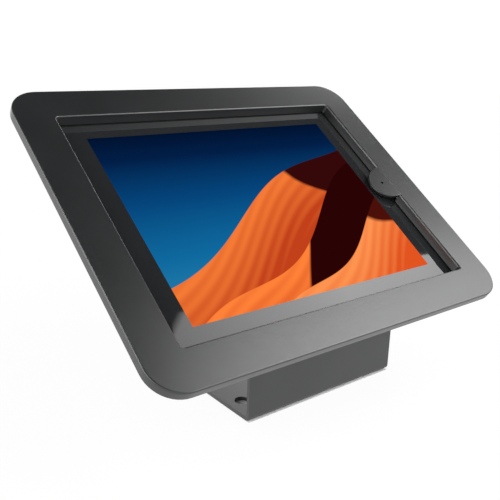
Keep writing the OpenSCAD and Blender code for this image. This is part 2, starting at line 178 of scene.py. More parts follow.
def roundOutline(outline, size, steps=3):
    pick("EDGE", lambda p: onOutline(p, *outline))
    bpy.ops.mesh.bevel(offset=size * mm, segments=steps, affect="EDGES")


def closeShape():
    bpy.ops.mesh.select_all(action="SELECT")
    bpy.ops.mesh.remove_doubles(threshold=weld * mm)
    bpy.ops.mesh.normals_make_consistent(inside=False)
    bpy.ops.object.mode_set(mode="OBJECT")


def turnPiece(name, profile, steps=48, closed=False):
    # a round piece along Z, given as radius and level from one end to the other
    piece = startPiece(name)

    def addCircle(ring):
        bpy.ops.mesh.select_all(action="DESELECT")
        bpy.ops.mesh.primitive_circle_add(vertices=steps, radius=ring[0] * mm, location=(0, 0, ring[1] * mm))

    stringRings(profile, addCircle, closed)
    closeShape()
    return piece


def placePiece(piece, place, turn=(0, 0, 0)):
    selectOnly(piece)
    piece.location = Vector(place) * mm
    piece.rotation_euler = turn
    bpy.ops.object.transform_apply(location=True, rotation=True, scale=True)


def leanPiece(piece):
    placePiece(piece, lean["glassMid"], (lean["angle"], 0, 0))


def addBlock(name, low, high):
    bpy.ops.object.select_all(action="DESELECT")
    middle = [(a + b) / 2 * mm for a, b in zip(low, high)]
    bpy.ops.mesh.primitive_cube_add(size=mm, location=middle)
    block = bpy.context.object
    block.name = name
    block.scale = [b - a for a, b in zip(low, high)]
    bpy.ops.object.transform_apply(location=True, rotation=True, scale=True)
    return block


def addRod(name, radius, length, place, turn=(0, 0, 0), steps=48):
    bpy.ops.object.select_all(action="DESELECT")
    bpy.ops.mesh.primitive_cylinder_add(vertices=steps, radius=radius * mm, depth=length * mm)
    rod = bpy.context.object
    rod.name = name
    placePiece(rod, place, turn)
    return rod


def combine(piece, tools, operation):
    for tool in tools:
        change = piece.modifiers.new("change", "BOOLEAN")
        change.operation, change.object, change.solver = operation, tool, "EXACT"
        applyModifier(piece, change)
        bpy.data.objects.remove(tool)


def softenEdges(piece, size, steps=2, angle=40):
    soft = piece.modifiers.new("soft", "BEVEL")
    soft.width, soft.segments = size * mm, steps
    soft.limit_method, soft.angle_limit = "ANGLE", math.radians(angle)
    soft.use_clamp_overlap = True
    applyModifier(piece, soft)


def finishPiece(piece, body, nodes, material, smooth=32):
    selectOnly(piece)
    bpy.ops.object.shade_smooth_by_angle(angle=math.radians(smooth))
    flat = piece.modifiers.new("flat", "WEIGHTED_NORMAL")  # flat faces stay flat beside their rounded edges
    flat.keep_sharp = True
    applyModifier(piece, flat)
    if not piece.data.materials:
        piece.data.materials.append(material)
    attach(piece, body)
    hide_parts(*nodes)
    print("piece", piece.name, len(piece.data.polygons), "faces")


# Materials

def grainFinish(tree, shader, look, tone, skin):
    # one pattern shades the colour, and the same or another sets roughness and relief
    shade = addNode(tree, "ShaderNodeValToRGB", links={"Fac": tone})
    fillRamp(shade.color_ramp, list(zip(look["blend"], (linear(look["dark"]), linear(look["pale"])))))
    low, high = look["span"]
    rough = addNode(tree, "ShaderNodeMapRange", links={"Value": skin},
                    values={"From Min": low, "From Max": high, "To Min": look["rough"] - look["vary"],
                            "To Max": look["rough"] + look["vary"]})
    relief = addNode(tree, "ShaderNodeBump", links={"Height": skin},
                     values={"Strength": look["relief"], "Distance": look["deepMm"] * mm})
    tree.links.new(shade.outputs["Color"], shader.inputs["Base Color"])
    tree.links.new(rough.outputs["Result"], shader.inputs["Roughness"])
    tree.links.new(relief.outputs["Normal"], shader.inputs["Normal"])


# Powder coat on steel: sprayed and baked, satin, with a faint orange-peel skin
coatGrain = {
    "ior": 1.65, "peelMm": 1.4,  # the skin is drawn a little coarse so that it shows
    "blend": (0.35, 0.65), "span": (0.3, 0.7), "vary": 0.03, "relief": 0.18, "deepMm": 0.02,
}


def powderCoat(name, look):
    look = {**coatGrain, **look}
    material, tree, shader, place = newMaterial(name, {"IOR": look["ior"]})
    cloud = addNode(tree, "ShaderNodeTexNoise", values={"Scale": 1 / (look["cloudMm"] * mm), "Detail": 3},
                    links={"Vector": place})
    peel = addNode(tree, "ShaderNodeTexNoise", values={"Scale": 1 / (look["peelMm"] * mm), "Detail": 2},
                   links={"Vector": place})
    grainFinish(tree, shader, look, cloud.outputs["Fac"], peel.outputs["Fac"])
    return material


frameCoat = powderCoat("satinPowderCoatFrame", {"dark": "#1a1b1c", "pale": "#1e1f20", "cloudMm": 35, "rough": 0.305})
bracketCoat = powderCoat("satinPowderCoatBracket", {"dark": "#212223", "pale": "#262728", "cloudMm": 30, "rough": 0.36})

# Black backed glass: float glass printed black underneath, so it mirrors like a dark pool
glassLook = {"dark": "#1f2021", "pale": "#232425", "ior": 1.5, "filmMm": 18, "span": (0.3, 0.7), "rough": (0.02, 0.04)}


def blackGlass(look):
    material, tree, shader, place = newMaterial("blackBackedGlass", {"IOR": look["ior"]})
    film = addNode(tree, "ShaderNodeTexNoise", values={"Scale": 1 / (look["filmMm"] * mm), "Detail": 4},
                   links={"Vector": place}).outputs["Fac"]
    (low, high), (least, most) = look["span"], look["rough"]
    rough = addNode(tree, "ShaderNodeMapRange", links={"Value": film},
                    values={"From Min": low, "From Max": high, "To Min": least, "To Max": most})
    tint = addNode(tree, "ShaderNodeValToRGB", links={"Fac": film})
    fillRamp(tint.color_ramp, [(0, linear(look["dark"])), (1, linear(look["pale"]))])
    tree.links.new(tint.outputs["Color"], shader.inputs["Base Color"])
    tree.links.new(rough.outputs["Result"], shader.inputs["Roughness"])
    return material


# Lit display: a picture of dunes under an evening sky, glowing evenly, with no gloss of its own
screen = {
    "size": (197.1, 147.8),
    "sky": [(0.0, "#2a86b2"), (0.3, "#0f6a9f"), (0.6, "#05457c"), (0.85, "#021f48"), (1.0, "#011230")],
    "dunes": [  # from the far one to the near one, in shares of the screen
        {"rise": 0.22, "lean": 0.62, "swell": 0.06, "pitch": 6.4, "start": 3.9, "ridge": 0.66, "fall": -0.62,
         "lit": "#f47a35", "glow": "#c2401a", "dusk": "#35090a"},
        {"rise": -0.10, "lean": 0.74, "swell": 0.07, "pitch": 7.2, "start": 1.2, "ridge": 0.56, "fall": 0.7,
         "lit": "#ff8238", "glow": "#d4461b", "dusk": "#2a0405"},
        {"rise": -0.30, "lean": 0.70, "swell": 0.05, "pitch": 8.8, "start": 5.0, "ridge": 0.88, "fall": -0.8,
         "lit": "#ff9450", "glow": "#e25420", "dusk": "#4a1009"},
    ],
    "curl": (14, 0.025), "ripples": (95.0, 30.0),  # pace and size of a ridge's curl, paces of the ripples
    "sway": 0.045, "glowDepth": 0.3,  # how far a ripple shifts the fall of light, and how deep the light falls
    "ridgeSoft": 0.018, "crestSoft": 0.003,
}


def litPicture():
    material, tree, shader, place = newMaterial("litDisplayPicture", {
        "Base Color": (0, 0, 0, 1), "Roughness": 1, "Specular IOR Level": 0, "Emission Strength": 1})
    wide, tall = screen["size"]
    angle = lean["angle"]
    corner = Vector(lean["glassMid"]) + Vector(
        (-wide / 2, -tall / 2 * math.cos(angle), -tall / 2 * math.sin(angle)))
    onScreen = addNode(tree, "ShaderNodeMapping", {"vector_type": "TEXTURE"},
                       {"Location": corner * mm, "Rotation": (angle, 0, 0),
                        "Scale": (wide * mm, tall * mm, 1)}, {"Vector": place})
    axes = addNode(tree, "ShaderNodeSeparateXYZ", links={"Vector": onScreen.outputs["Vector"]})
    across, up = axes.outputs["X"], axes.outputs["Y"]
    sky = addNode(tree, "ShaderNodeValToRGB", links={"Fac": up})
    fillRamp(sky.color_ramp, [(spot, linear(tone)) for spot, tone in screen["sky"]])
    picture = sky.outputs["Color"]
    (curlPace, curlSize), (downPace, acrossPace) = screen["curl"], screen["ripples"]
    for dune in screen["dunes"]:
        phase = addNode(tree, "ShaderNodeMath", multiplyAdd, {1: dune["pitch"], 2: dune["start"]}, {0: across})
        wave = addNode(tree, "ShaderNodeMath", sine, links={0: phase.outputs[0]})
        slope = addNode(tree, "ShaderNodeMath", multiplyAdd, {1: dune["lean"], 2: dune["rise"]}, {0: across})
        crest = addNode(tree, "ShaderNodeMath", multiplyAdd, {1: dune["swell"]},
                        {0: wave.outputs[0], 2: slope.outputs[0]})
        depth = addNode(tree, "ShaderNodeMath", {"operation": "SUBTRACT"},
                        links={0: crest.outputs[0], 1: up}).outputs[0]
        # the ridge runs down from the crest in a slow curl, with the lit side to its left
        run = addNode(tree, "ShaderNodeMath", multiplyAdd, {1: dune["fall"]}, {0: depth, 2: across})
        bend = addNode(tree, "ShaderNodeMath", multiply, {1: curlPace}, {0: depth})
        curl = addNode(tree, "ShaderNodeMath", sine, links={0: bend.outputs[0]})
        ridge = addNode(tree, "ShaderNodeMath", multiplyAdd, {1: curlSize}, {0: curl.outputs[0], 2: run.outputs[0]})
        dark = addNode(tree, "ShaderNodeMapRange", {},
                       {"From Min": dune["ridge"], "From Max": dune["ridge"] + screen["ridgeSoft"]},
                       {"Value": ridge.outputs[0]})
        # wind ripples follow the crest
        row = addNode(tree, "ShaderNodeMath", multiply, {1: downPace}, {0: depth})
        drift = addNode(tree, "ShaderNodeMath", multiplyAdd, {1: acrossPace}, {0: across, 2: row.outputs[0]})
        rib = addNode(tree, "ShaderNodeMath", sine, links={0: drift.outputs[0]})
        fade = addNode(tree, "ShaderNodeMath", multiplyAdd, {1: screen["sway"]}, {0: rib.outputs[0], 2: depth})
        fall = addNode(tree, "ShaderNodeMapRange", {}, {"From Min": 0, "From Max": screen["glowDepth"]},
                       {"Value": fade.outputs[0]})
        body = addNode(tree, "ShaderNodeMix", colours, {"A": linear(dune["lit"]), "B": linear(dune["glow"])},
                       {"Factor": fall.outputs[0]})
        shaded = addNode(tree, "ShaderNodeMix", colours, {"B": linear(dune["dusk"])},
                         {"A": body.outputs["Result"], "Factor": dark.outputs[0]})
        inside = addNode(tree, "ShaderNodeMapRange", {}, {"From Min": 0, "From Max": screen["crestSoft"]},
                         {"Value": depth})
        picture = addNode(tree, "ShaderNodeMix", colours, {},
                          {"A": picture, "B": shaded.outputs["Result"],
                           "Factor": inside.outputs[0]}).outputs["Result"]
    tree.links.new(picture, shader.inputs["Emission Color"])
    return material


glassFinish = blackGlass(glassLook)
pictureFinish = litPicture()

# Metals: zinc plate has a soft mottle, blasted aluminium a fine even grit, brass a warm lathe-turned sheen
metalGrain = {"blend": (0.35, 0.65), "span": (0.3, 0.7), "vary": 0.05, "deepMm": 0.02}


def metal(name, look):
    look = {**metalGrain, **look}
    material, tree, shader, place = newMaterial(name, {"Metallic": 1})
    grit = addNode(tree, "ShaderNodeTexNoise", values={"Scale": 1 / (look["gritMm"] * mm), "Detail": 3},
                   links={"Vector": place}).outputs["Fac"]
    grainFinish(tree, shader, look, grit, grit)
    return material


zincSteel = metal("zincPlatedSteel", {"dark": "#a3a6aa", "pale": "#c6c8ca", "gritMm": 1.5, "rough": 0.32,
                                      "relief": 0.1})
blastedAluminium = metal("blastedAnodisedAluminium", {"dark": "#b9bbbe", "pale": "#cdcfd1", "gritMm": 0.5,
                                                      "rough": 0.4, "relief": 0.15})
turnedBrass = metal("turnedBrass", {"dark": "#b0893c", "pale": "#cda75a", "gritMm": 0.8, "rough": 0.28,
                                    "relief": 0.08})

# Other stuffs, each with its own fine grain
stuffGrain = {
    "ior": 1.5, "pattern": "ShaderNodeTexNoise", "output": "Fac",
    "blend": (0.3, 0.7), "span": (0.2, 0.8), "vary": 0.04, "deepMm": 0.03,
}
cells = {"pattern": "ShaderNodeTexVoronoi", "output": "Distance"}


def stuff(name, look):
    look = {**stuffGrain, **look}
    material, tree, shader, place = newMaterial(name, {"IOR": look["ior"]})
    grain = addNode(tree, look["pattern"], values={"Scale": 1 / (look["grainMm"] * mm)}, links={"Vector": place})
    level = grain.outputs[look["output"]]
    grainFinish(tree, shader, look, level, level)
    return material


# moulded rubber, dull and nearly black
gasketRubber = stuff("blackGasketRubber", {"dark": "#141415", "pale": "#1c1c1d", "grainMm": 0.9, "rough": 0.72,
                                           "relief": 0.3})
# cut foam, matt, with its small cells showing
padFoam = stuff("closedCellFoam", {"dark": "#1a1a1b", "pale": "#29292a", "grainMm": 0.9, "rough": 0.9,
                                   "relief": 0.6, **cells})
# plastic from a polished mould, with sharp glints
glossPlastic = stuff("glossBlackPlastic", {"dark": "#101112", "pale": "#151617", "grainMm": 4, "rough": 0.14,
                                           "relief": 0.02})
# pressed and painted case, a dull blue grey
panelCase = stuff("displayModuleCase", {"dark": "#22303a", "pale": "#2a3944", "grainMm": 3, "rough": 0.5,
                                        "relief": 0.1})
# shrunk film, with a soft sheen
cellWrap = stuff("batteryWrap", {"dark": "#26272a", "pale": "#303134", "grainMm": 6, "rough": 0.45, "relief": 0.1})
# green lacquer over copper, paler in patches
circuitLacquer = stuff("circuitBoardLacquer", {"dark": "#12402a", "pale": "#2b6a48", "grainMm": 2.2, "rough": 0.35,
                                               "relief": 0.4, **cells})
print("materials", len(bpy.data.materials))

# Front frame: a wide face with a skirt outside and a wall round the window
frontFrame = {
    "outer": (280, 224, 20), "window": (231, 175.2, 2.5),
    "face": 7.3, "under": 5.3, "back": 1.1, "wallFoot": 0.8,  # levels above the glass
    "skirt": 2.5, "wall": 2.0, "draft": 1.0, "edge": 0.95, "rim": 0.4,
    "windowEdge": 0.65, "windowRoll": 1.6, "rollSteps": 5,
    "notch": (15.3, 0.3),  # half height and foot of the gap in the wall beside the tab
}
homeTab = {  # half-round tab of the face, bent down over the home button
    "middle": 114.7, "radius": 15, "steps": 96, "root": 118.4, "thick": 2.0, "edge": 0.6, "edgeSteps": 3,
    "proud": 0.02,  # it stands just above the face, so that the first fold doesn't shine
    "bends": (116.3, 116.0, 115.7), "bendAngle": math.radians(5),
    "pinHole": {"radius": 1.0, "drill": 20},
}
hinge = {  # along the upper back edge, with ears on the frame and knuckles on the tray
    "places": (-70, 70), "line": (113.6, -2.2), "pinRadius": 1.5, "knuckle": 2.8,
    "trayLength": 16, "earLength": 10, "gap": 0.2, "web": 1.2, "leaf": 10, "leafThick": 1.6,
    "doorBore": (0.05, 60), "trayBore": (0.01, 30),  # room round the pin, and the length that is drilled
}


def makeHomeTab(t, top):
    piece = startPiece("homeTab")
    low = top - t["thick"]
    bpy.ops.mesh.primitive_circle_add(vertices=t["steps"], radius=t["radius"] * mm, fill_type="NGON",
                                      location=(t["middle"] * mm, 0, low * mm))
    bpy.ops.mesh.bisect(plane_co=(t["root"] * mm, 0, 0), plane_no=(1, 0, 0), clear_outer=True)
    bpy.ops.mesh.select_all(action="SELECT")
    bpy.ops.mesh.extrude_region_move(TRANSFORM_OT_translate={"value": (0, 0, t["thick"] * mm)})
    bpy.ops.mesh.select_all(action="SELECT")
    bpy.ops.mesh.normals_make_consistent(inside=False)
    pick("EDGE", lambda p: p.z > top - slack and p.x < t["root"] - slack)
    bpy.ops.mesh.bevel(offset=t["edge"] * mm, segments=t["edgeSteps"], affect="EDGES")
    for x in t["bends"]:
        bpy.ops.mesh.select_all(action="SELECT")
        bpy.ops.mesh.bisect(plane_co=(x * mm, 0, 0), plane_no=(1, 0, 0))
    drop, turned = top, 0
    spot = t["bends"][0]
    for x in t["bends"]:  # each bend line lies where the ones before it have brought it
        drop -= (spot - x) * math.sin(turned)
        pick("VERT", lambda p: p.x < x - slack - (spot - x) * (1 - math.cos(turned)))
        bpy.ops.transform.rotate(value=t["bendAngle"], orient_axis="Y", center_override=(x * mm, 0, drop * mm))
        turned += t["bendAngle"]
    closeShape()
    hole = t["pinHole"]
    combine(piece, [addRod("pinHole", hole["radius"], hole["drill"], (shared["homeX"], 0, 0))], "DIFFERENCE")
    return piece


def rollWindowEdge(piece, f, outline):
    # the edge is rounded more along the right of the window, and the corners there blend the two sizes
    least, right = f["windowEdge"] / f["windowRoll"], outline[0] / 2
    shape = bmesh.from_edit_mesh(piece.data)
    weight = shape.edges.layers.float.new("bevel_weight_edge")
    for edge in shape.edges:
        ends = [corner.co / mm for corner in edge.verts]
        if all(onOutline(end, *outline) for end in ends):
            share = 1 - (right - (ends[0].x + ends[1].x) / 2) / outline[2]
            edge[weight] = least + (1 - least) * max(share, 0)
    bmesh.update_edit_mesh(piece.data)
    closeShape()
    roll = piece.modifiers.new("roll", "BEVEL")
    roll.limit_method, roll.width, roll.segments = "WEIGHT", f["windowRoll"] * mm, f["rollSteps"]
    applyModifier(piece, roll)


def makeFrontFrame(f, h, t):
    outer, window = f["outer"], f["window"]
    skirtIn, wallOut = shrink(outer, f["skirt"]), shrink(window, -f["wall"])
    back, edge = outer + (f["back"],), outer + (f["face"],)
    opening, foot = window + (f["face"],), shrink(window, f["draft"]) + (f["wallFoot"],)
    skirtBack = skirtIn + (f["back"],)
    piece = startPiece("frontFrame")
    stringRings([back, edge, opening, foot, wallOut + (f["wallFoot"],), wallOut + (f["under"],),
                 skirtIn + (f["under"],), skirtBack], addOutline, closed=True)
    roundOutline(edge, f["edge"])
    roundOutline(back, f["rim"], 2)
    roundOutline(skirtBack, f["rim"], 2)
    rollWindowEdge(piece, f, opening)
    right = window[0] / 2
    tall, low = f["notch"]
    notch = addBlock("notch", (right - f["draft"] - past, -tall, low),
                     (right + f["wall"] + past, tall, f["under"] + slack))
    combine(piece, [notch], "DIFFERENCE")
    adds = [makeHomeTab(t, f["face"] + t["proud"])]
    middle = (h["trayLength"] + h["earLength"]) / 2 + h["gap"]
    half, top = h["earLength"] / 2, outer[1] / 2
    wide = half - slack  # the webs keep a hair off the faces that they would share, or stray faces are left
    for x in [place + side * middle for place in h["places"] for side in (-1, 1)]:
        adds.append(addBlock("web", (x - wide, top - h["web"] + slack, h["line"][1]),
                             (x + wide, top - slack, f["back"] + past)))
        adds.append(addRod("ear", h["knuckle"], h["earLength"], (x, *h["line"]), (0, quarterTurn, 0)))
    combine(piece, adds, "UNION")
    room, drill = h["doorBore"]
    combine(piece, [addRod("bore", h["pinRadius"] + room, drill, (x, *h["line"]), (0, quarterTurn, 0))
                    for x in h["places"]], "DIFFERENCE")
    leanPiece(piece)
    finishPiece(piece, "door", ["front_frame"], frameCoat)


makeFrontFrame(frontFrame, hinge, homeTab)

# Tablet glass: a thin plate with the lit picture in its middle and a hole for the home button
tabletGlass = {"outline": (238.4, 182.9, 10.6), "thick": 1.0, "edge": 0.25,
               "homeHole": {"radius": 5.6, "drill": 6}}


def makeTabletGlass(g):
    top, low = g["outline"] + (0,), g["outline"] + (-g["thick"],)
    piece = startPiece("tabletGlass")
    stringRings([low, top], addOutline)
    roundOutline(top, g["edge"], 2)
    wide, tall = screen["size"]
    for spot, way in (((-wide / 2, 0, 0), (1, 0, 0)), ((wide / 2, 0, 0), (1, 0, 0)),
                      ((0, -tall / 2, 0), (0, 1, 0)), ((0, tall / 2, 0), (0, 1, 0))):
        pick("FACE", lambda p: abs(p.z) < slack)
        bpy.ops.mesh.bisect(plane_co=Vector(spot) * mm, plane_no=way)
    closeShape()
    hole = g["homeHole"]
    combine(piece, [addRod("hole", hole["radius"], hole["drill"], (shared["homeX"], 0, 0))], "DIFFERENCE")
    piece.data.materials.append(glassFinish)
    piece.data.materials.append(pictureFinish)
    for face in piece.data.polygons:
        spot = face.center / mm
        if abs(spot.z) < slack and abs(spot.x) < wide / 2 and abs(spot.y) < tall / 2:
            face.material_index = 1
    leanPiece(piece)
    finishPiece(piece, "stand", ["tablet_glass"], glassFinish)


makeTabletGlass(tabletGlass)

# Desk bracket: one steel sheet folded twice, with holes for the desk and for the tray
deskBracket = {
    "wide": 122, "deep": 120, "wall": 50, "slope": 118, "sheet": 2.5, "bend": 3.3, "bendSteps": (8, 6),
    "rearCorner": (5, 6), "slopeCorner": (7.07, 1),  # size and steps
    "deskHoles": {"across": 51, "along": 40, "radius": 4.5, "drill": 12}, "fixingDrill": 8, "edge": 0.5,
}
fixings = {"across": 37.5, "rows": (-62.2, 12.8), "holeRadius": 2.15}


def fixingSpots(fix, level):
    return [(side * fix["across"], row, level) for side in (-1, 1) for row in fix["rows"]]


def makeDeskBracket(b, fix):
    angle = lean["angle"]
    front = -b["deep"] / 2
    rise = Vector((0, math.cos(angle), math.sin(angle))) * b["slope"]
    lowSteps, highSteps = b["bendSteps"]
    piece = startPiece("deskBracket")
    bpy.ops.mesh.primitive_plane_add(size=mm)
    bpy.ops.transform.resize(value=(b["wide"], b["deep"], 1), center_override=(0, 0, 0))
    pick("EDGE", lambda p: p.y < front + slack)
    bpy.ops.mesh.extrude_edges_move(TRANSFORM_OT_translate={"value": (0, 0, b["wall"] * mm)})
    bpy.ops.mesh.extrude_edges_move(TRANSFORM_OT_translate={"value": rise * mm})
    pick("VERT", lambda p: p.z < slack and p.y > 0)
    bpy.ops.mesh.bevel(offset=b["rearCorner"][0] * mm, segments=b["rearCorner"][1], affect="VERTICES")
    pick("VERT", lambda p: p.z > b["wall"] + slack)
    bpy.ops.mesh.bevel(offset=b["slopeCorner"][0] * mm, segments=b["slopeCorner"][1], affect="VERTICES")
    pick("EDGE", lambda p: p.z < slack and p.y < front + slack)
    bpy.ops.mesh.bevel(offset=b["bend"] * mm, segments=lowSteps, affect="EDGES")
    pick("EDGE", lambda p: abs(p.z - b["wall"]) < slack and p.y < front + slack)
    run = b["bend"] * math.tan((quarterTurn - angle) / 2)
    bpy.ops.mesh.bevel(offset=run * mm, segments=highSteps, affect="EDGES")
    bpy.ops.mesh.select_all(action="SELECT")
    bpy.ops.mesh.normals_make_consistent(inside=False)
    bpy.ops.object.mode_set(mode="OBJECT")
    plate = max(piece.data.polygons, key=lambda face: face.area * (abs(face.normal.z) > 0.99))
    if plate.normal.z > 0:  # the underside is the outer side of the fold
        piece.data.flip_normals()
    sheet = piece.modifiers.new("sheet", "SOLIDIFY")
    sheet.thickness, sheet.offset, sheet.use_even_offset = b["sheet"] * mm, -1, True
    applyModifier(piece, sheet)
    d = b["deskHoles"]
    holes = [addRod("hole", d["radius"], d["drill"], (sx * d["across"], sy * d["along"], 0))
             for sx in (-1, 1) for sy in (-1, 1)]
    for spot in fixingSpots(fix, shared["trayLow"]):
        hole = addRod("hole", fix["holeRadius"], b["fixingDrill"], spot)
        leanPiece(hole)
        holes.append(hole)
    combine(piece, holes, "DIFFERENCE")
    softenEdges(piece, b["edge"])
    finishPiece(piece, "stand", ["mount_bracket"], bracketCoat)


makeDeskBracket(deskBracket, fixings)

# Rear tray: a pan for the tablet with a flange that closes the back of the frame
rearTray = {
    "flange": (277, 220.4, 18.5), "flangeTop": 0.9, "flangeLow": -1.1, "flangeEdge": 0.4,
    "panOut": (248.2, 192.7, 15.5), "panIn": (244.2, 188.7, 13.5), "edge": 1.6, "mouthEdge": 0.3,
    "slot": ((121, -17, -9.4), (125, 17, -1.4)), "fixingDrill": 12,
    "lockHole": {"radius": 4.65, "drill": 12},
}


def makeRearTray(r, fix, h):
    flangeTop, flangeLow = r["flange"] + (r["flangeTop"],), r["flange"] + (r["flangeLow"],)
    neck, bottom = r["panOut"] + (r["flangeLow"],), r["panOut"] + (shared["trayLow"],)
    mouth, floor = r["panIn"] + (r["flangeTop"],), r["panIn"] + (shared["trayFloor"],)
    piece = startPiece("rearTray")
    stringRings([floor, mouth, flangeTop, flangeLow, neck, bottom], addOutline)
    roundOutline(bottom, r["edge"], 4)
    roundOutline(flangeLow, r["flangeEdge"], 2)
    roundOutline(flangeTop, r["flangeEdge"], 2)
    roundOutline(mouth, r["mouthEdge"], 2)
    closeShape()
    y, n = h["line"]
    half = h["trayLength"] / 2
    adds = []
    for place in h["places"]:
        adds.append(addBlock("leaf", (place - half, y - h["leaf"], n - h["leafThick"]),
                             (place + half, y, r["flangeLow"] + past)))
        adds.append(addRod("knuckle", h["knuckle"], h["trayLength"], (place, y, n), (0, quarterTurn, 0)))
    combine(piece, adds, "UNION")
    room, drill = h["trayBore"]
    cuts = [addRod("bore", h["pinRadius"] + room, drill, (place, y, n), (0, quarterTurn, 0)) for place in h["places"]]
    cuts += [addRod("hole", fix["holeRadius"], r["fixingDrill"], spot)
             for spot in fixingSpots(fix, shared["trayLow"])]
    cuts.append(addBlock("slot", *r["slot"]))
    hole = r["lockHole"]
    cuts.append(addRod("lockHole", hole["radius"], hole["drill"], shared["lock"]))
    combine(piece, cuts, "DIFFERENCE")
    leanPiece(piece)
    finishPiece(piece, "stand", ["rear_tray"], frameCoat)


makeRearTray(rearTray, fixings, hinge)

# Tablet shell: a blasted aluminium dish with a bright bevelled rim and openings for its keys and socket
tabletShell = {
    "outer": (241.2, 185.7, 12), "inner": (238.8, 183.3, 10.8),
    "rim": -0.2, "back": shared["tabletBack"], "floor": -8.4, "backEdge": 2.2, "rimEdge": 0.3,
    "openings": [((-122, 63.65, -5.93), (-118, 74.05, -2.53)), ((-93.8, 90.5, -5.93), (-75.4, 94, -2.53)),
                 ((118, -11, -5.73), (122, 11, -2.73))],
}


def makeTabletShell(t):
    rim, back = t["outer"] + (t["rim"],), t["outer"] + (t["back"],)
    piece = startPiece("tabletShell")
    stringRings([t["inner"] + (t["floor"],), t["inner"] + (t["rim"],), rim, back], addOutline)
    roundOutline(back, t["backEdge"], 4)
    roundOutline(rim, t["rimEdge"], 1)
    closeShape()
    combine(piece, [addBlock("opening", *opening) for opening in t["openings"]], "DIFFERENCE")
    leanPiece(piece)
    finishPiece(piece, "stand", ["tablet_shell"], blastedAluminium)


makeTabletShell(tabletShell)

# Home button: a shallow dish with a thin collar that keeps it under the glass
homeButton = {
    "steps": 64,
    "profile": [(6.2, -2.0), (6.2, -1.4), (5.4, -1.4), (5.4, -0.28), (5.25, -0.14), (5.0, -0.1), (4.2, -0.2),
                (2.8, -0.42), (1.2, -0.52)],
}
homePiece = turnPiece("homeButton", homeButton["profile"], homeButton["steps"])
placePiece(homePiece, (shared["homeX"], 0, 0))
leanPiece(homePiece)
finishPiece(homePiece, "home_key", ["home_button"], glossPlastic)

# Side keys: a rounded bar with a lip inside the shell
sideKeys = {
    "powerButton": {"body": "power_key", "node": "power_button", "edge": 0.45,
                    "bar": ((-121.1, 63.85, -5.73), (-118.4, 73.85, -2.73)),
                    "lip": ((-119.1, 62.85, -6.73), (-118.4, 74.85, -1.73))},
    "volumeRocker": {"body": "volume_key", "node": "volume_rocker", "edge": 0.45,
                     "bar": ((-93.6, 90.15, -5.73), (-75.6, 93.35, -2.73)),
                     "lip": ((-94.6, 90.15, -6.73), (-74.6, 91.15, -1.73))},
}
for name, key in sideKeys.items():
    bar = addBlock(name, *key["bar"])
    softenEdges(bar, key["edge"], 3)
    combine(bar, [addBlock("lip", *key["lip"])], "UNION")
    leanPiece(bar)
    finishPiece(bar, key["body"], [key["node"]], glossPlastic)

# Window gasket: a soft strip under the window wall, open beside the tab
windowGasket = {
    "outer": (234.8, 179.0, 4.4), "inner": (231.6, 175.8, 2.8), "low": 0.1, "top": 0.8, "edge": 0.28,
    "gap": ((-1, -16.4, -1), (4, 16.4, 2)),  # from the inner edge at the right
}


def tubeRings(p):
    # the four edges of a hollow strip, from its inner foot to its outer one
    return [p["inner"] + (p["low"],), p["inner"] + (p["top"],), p["outer"] + (p["top"],), p["outer"] + (p["low"],)]


def makeWindowGasket(g):
    rings = tubeRings(g)
    piece = startPiece("windowGasket")
    stringRings(rings, addOutline, closed=True)
    roundOutline(rings[0], g["edge"])
    roundOutline(rings[3], g["edge"])
    closeShape()
    gap = [(g["inner"][0] / 2 + x, y, n) for x, y, n in g["gap"]]
    combine(piece, [addBlock("gap", *gap)], "DIFFERENCE")
    leanPiece(piece)
    finishPiece(piece, "door", ["window_gasket"], gasketRubber)


makeWindowGasket(windowGasket)

# Foam behind the tablet: cut from sheet, its sides swollen a little by the squeeze, with holes round the screw heads
foamPad = {"size": (168.84, 139.3, 6), "low": shared["trayFloor"], "top": shared["tabletBack"],
           "squeeze": 0.5, "swell": 0.55, "holeRadius": 4.95, "drill": 6, "smooth": 50}


def makeFoamPad(p, fix):
    small = shrink(p["size"], p["squeeze"])
    piece = startPiece("foamPad")
    stringRings([small + (p["low"],), p["size"] + (p["low"] + p["swell"],), p["size"] + (p["top"] - p["swell"],),
                 small + (p["top"],)], addOutline)
    closeShape()
    holes = [addRod("hole", p["holeRadius"], p["drill"], spot) for spot in fixingSpots(fix, p["low"])]
    combine(piece, holes, "DIFFERENCE")
    leanPiece(piece)
    finishPiece(piece, "stand", ["back_pad"], padFoam, p["smooth"])


makeFoamPad(foamPad, fixings)

# Corner pads: four moulded bumpers that fill the gap between the tablet's corners and the pan
cornerPads = {
    "outer": (244.0, 188.5, 13.4), "inner": (241.4, 185.9, 12.1), "low": shared["trayFloor"], "top": -1.5, "edge": 0.3,
    "between": [((-105.1, -120, -20), (105.1, 120, 5)), ((-150, -77.35, -20), (150, 77.35, 5))],  # cut away
}


def makeCornerPads(p):
    piece = startPiece("cornerPads")
    stringRings(tubeRings(p), addOutline, closed=True)
    closeShape()
    combine(piece, [addBlock("between", *block) for block in p["between"]], "DIFFERENCE")
    softenEdges(piece, p["edge"])
    leanPiece(piece)
    finishPiece(piece, "stand", ["corner_pads"], gasketRubber)


makeCornerPads(cornerPads)

# Fixing screws and nuts: made once each and copied to the four holes
fixingScrew = {
    "head": [(2.0, shared["trayFloor"]), (3.75, shared["trayFloor"]), (3.75, -10.45), (3.6, -10.15), (3.2, -9.95),
             (2.7, -9.9)],
    "shank": 2.0, "root": 1.65, "tail": -20.6, "lead": 0.4, "threadTop": shared["trayLow"], "pitch": 0.7,
    "steps": 32, "socket": (1.45, 1.0),
}
fixingNut = {"across": 7, "low": -19.6, "top": -16.4, "bore": 2.05, "drill": 10,
             "chamfer": 0.45, "spare": 0.1, "steps": 64}


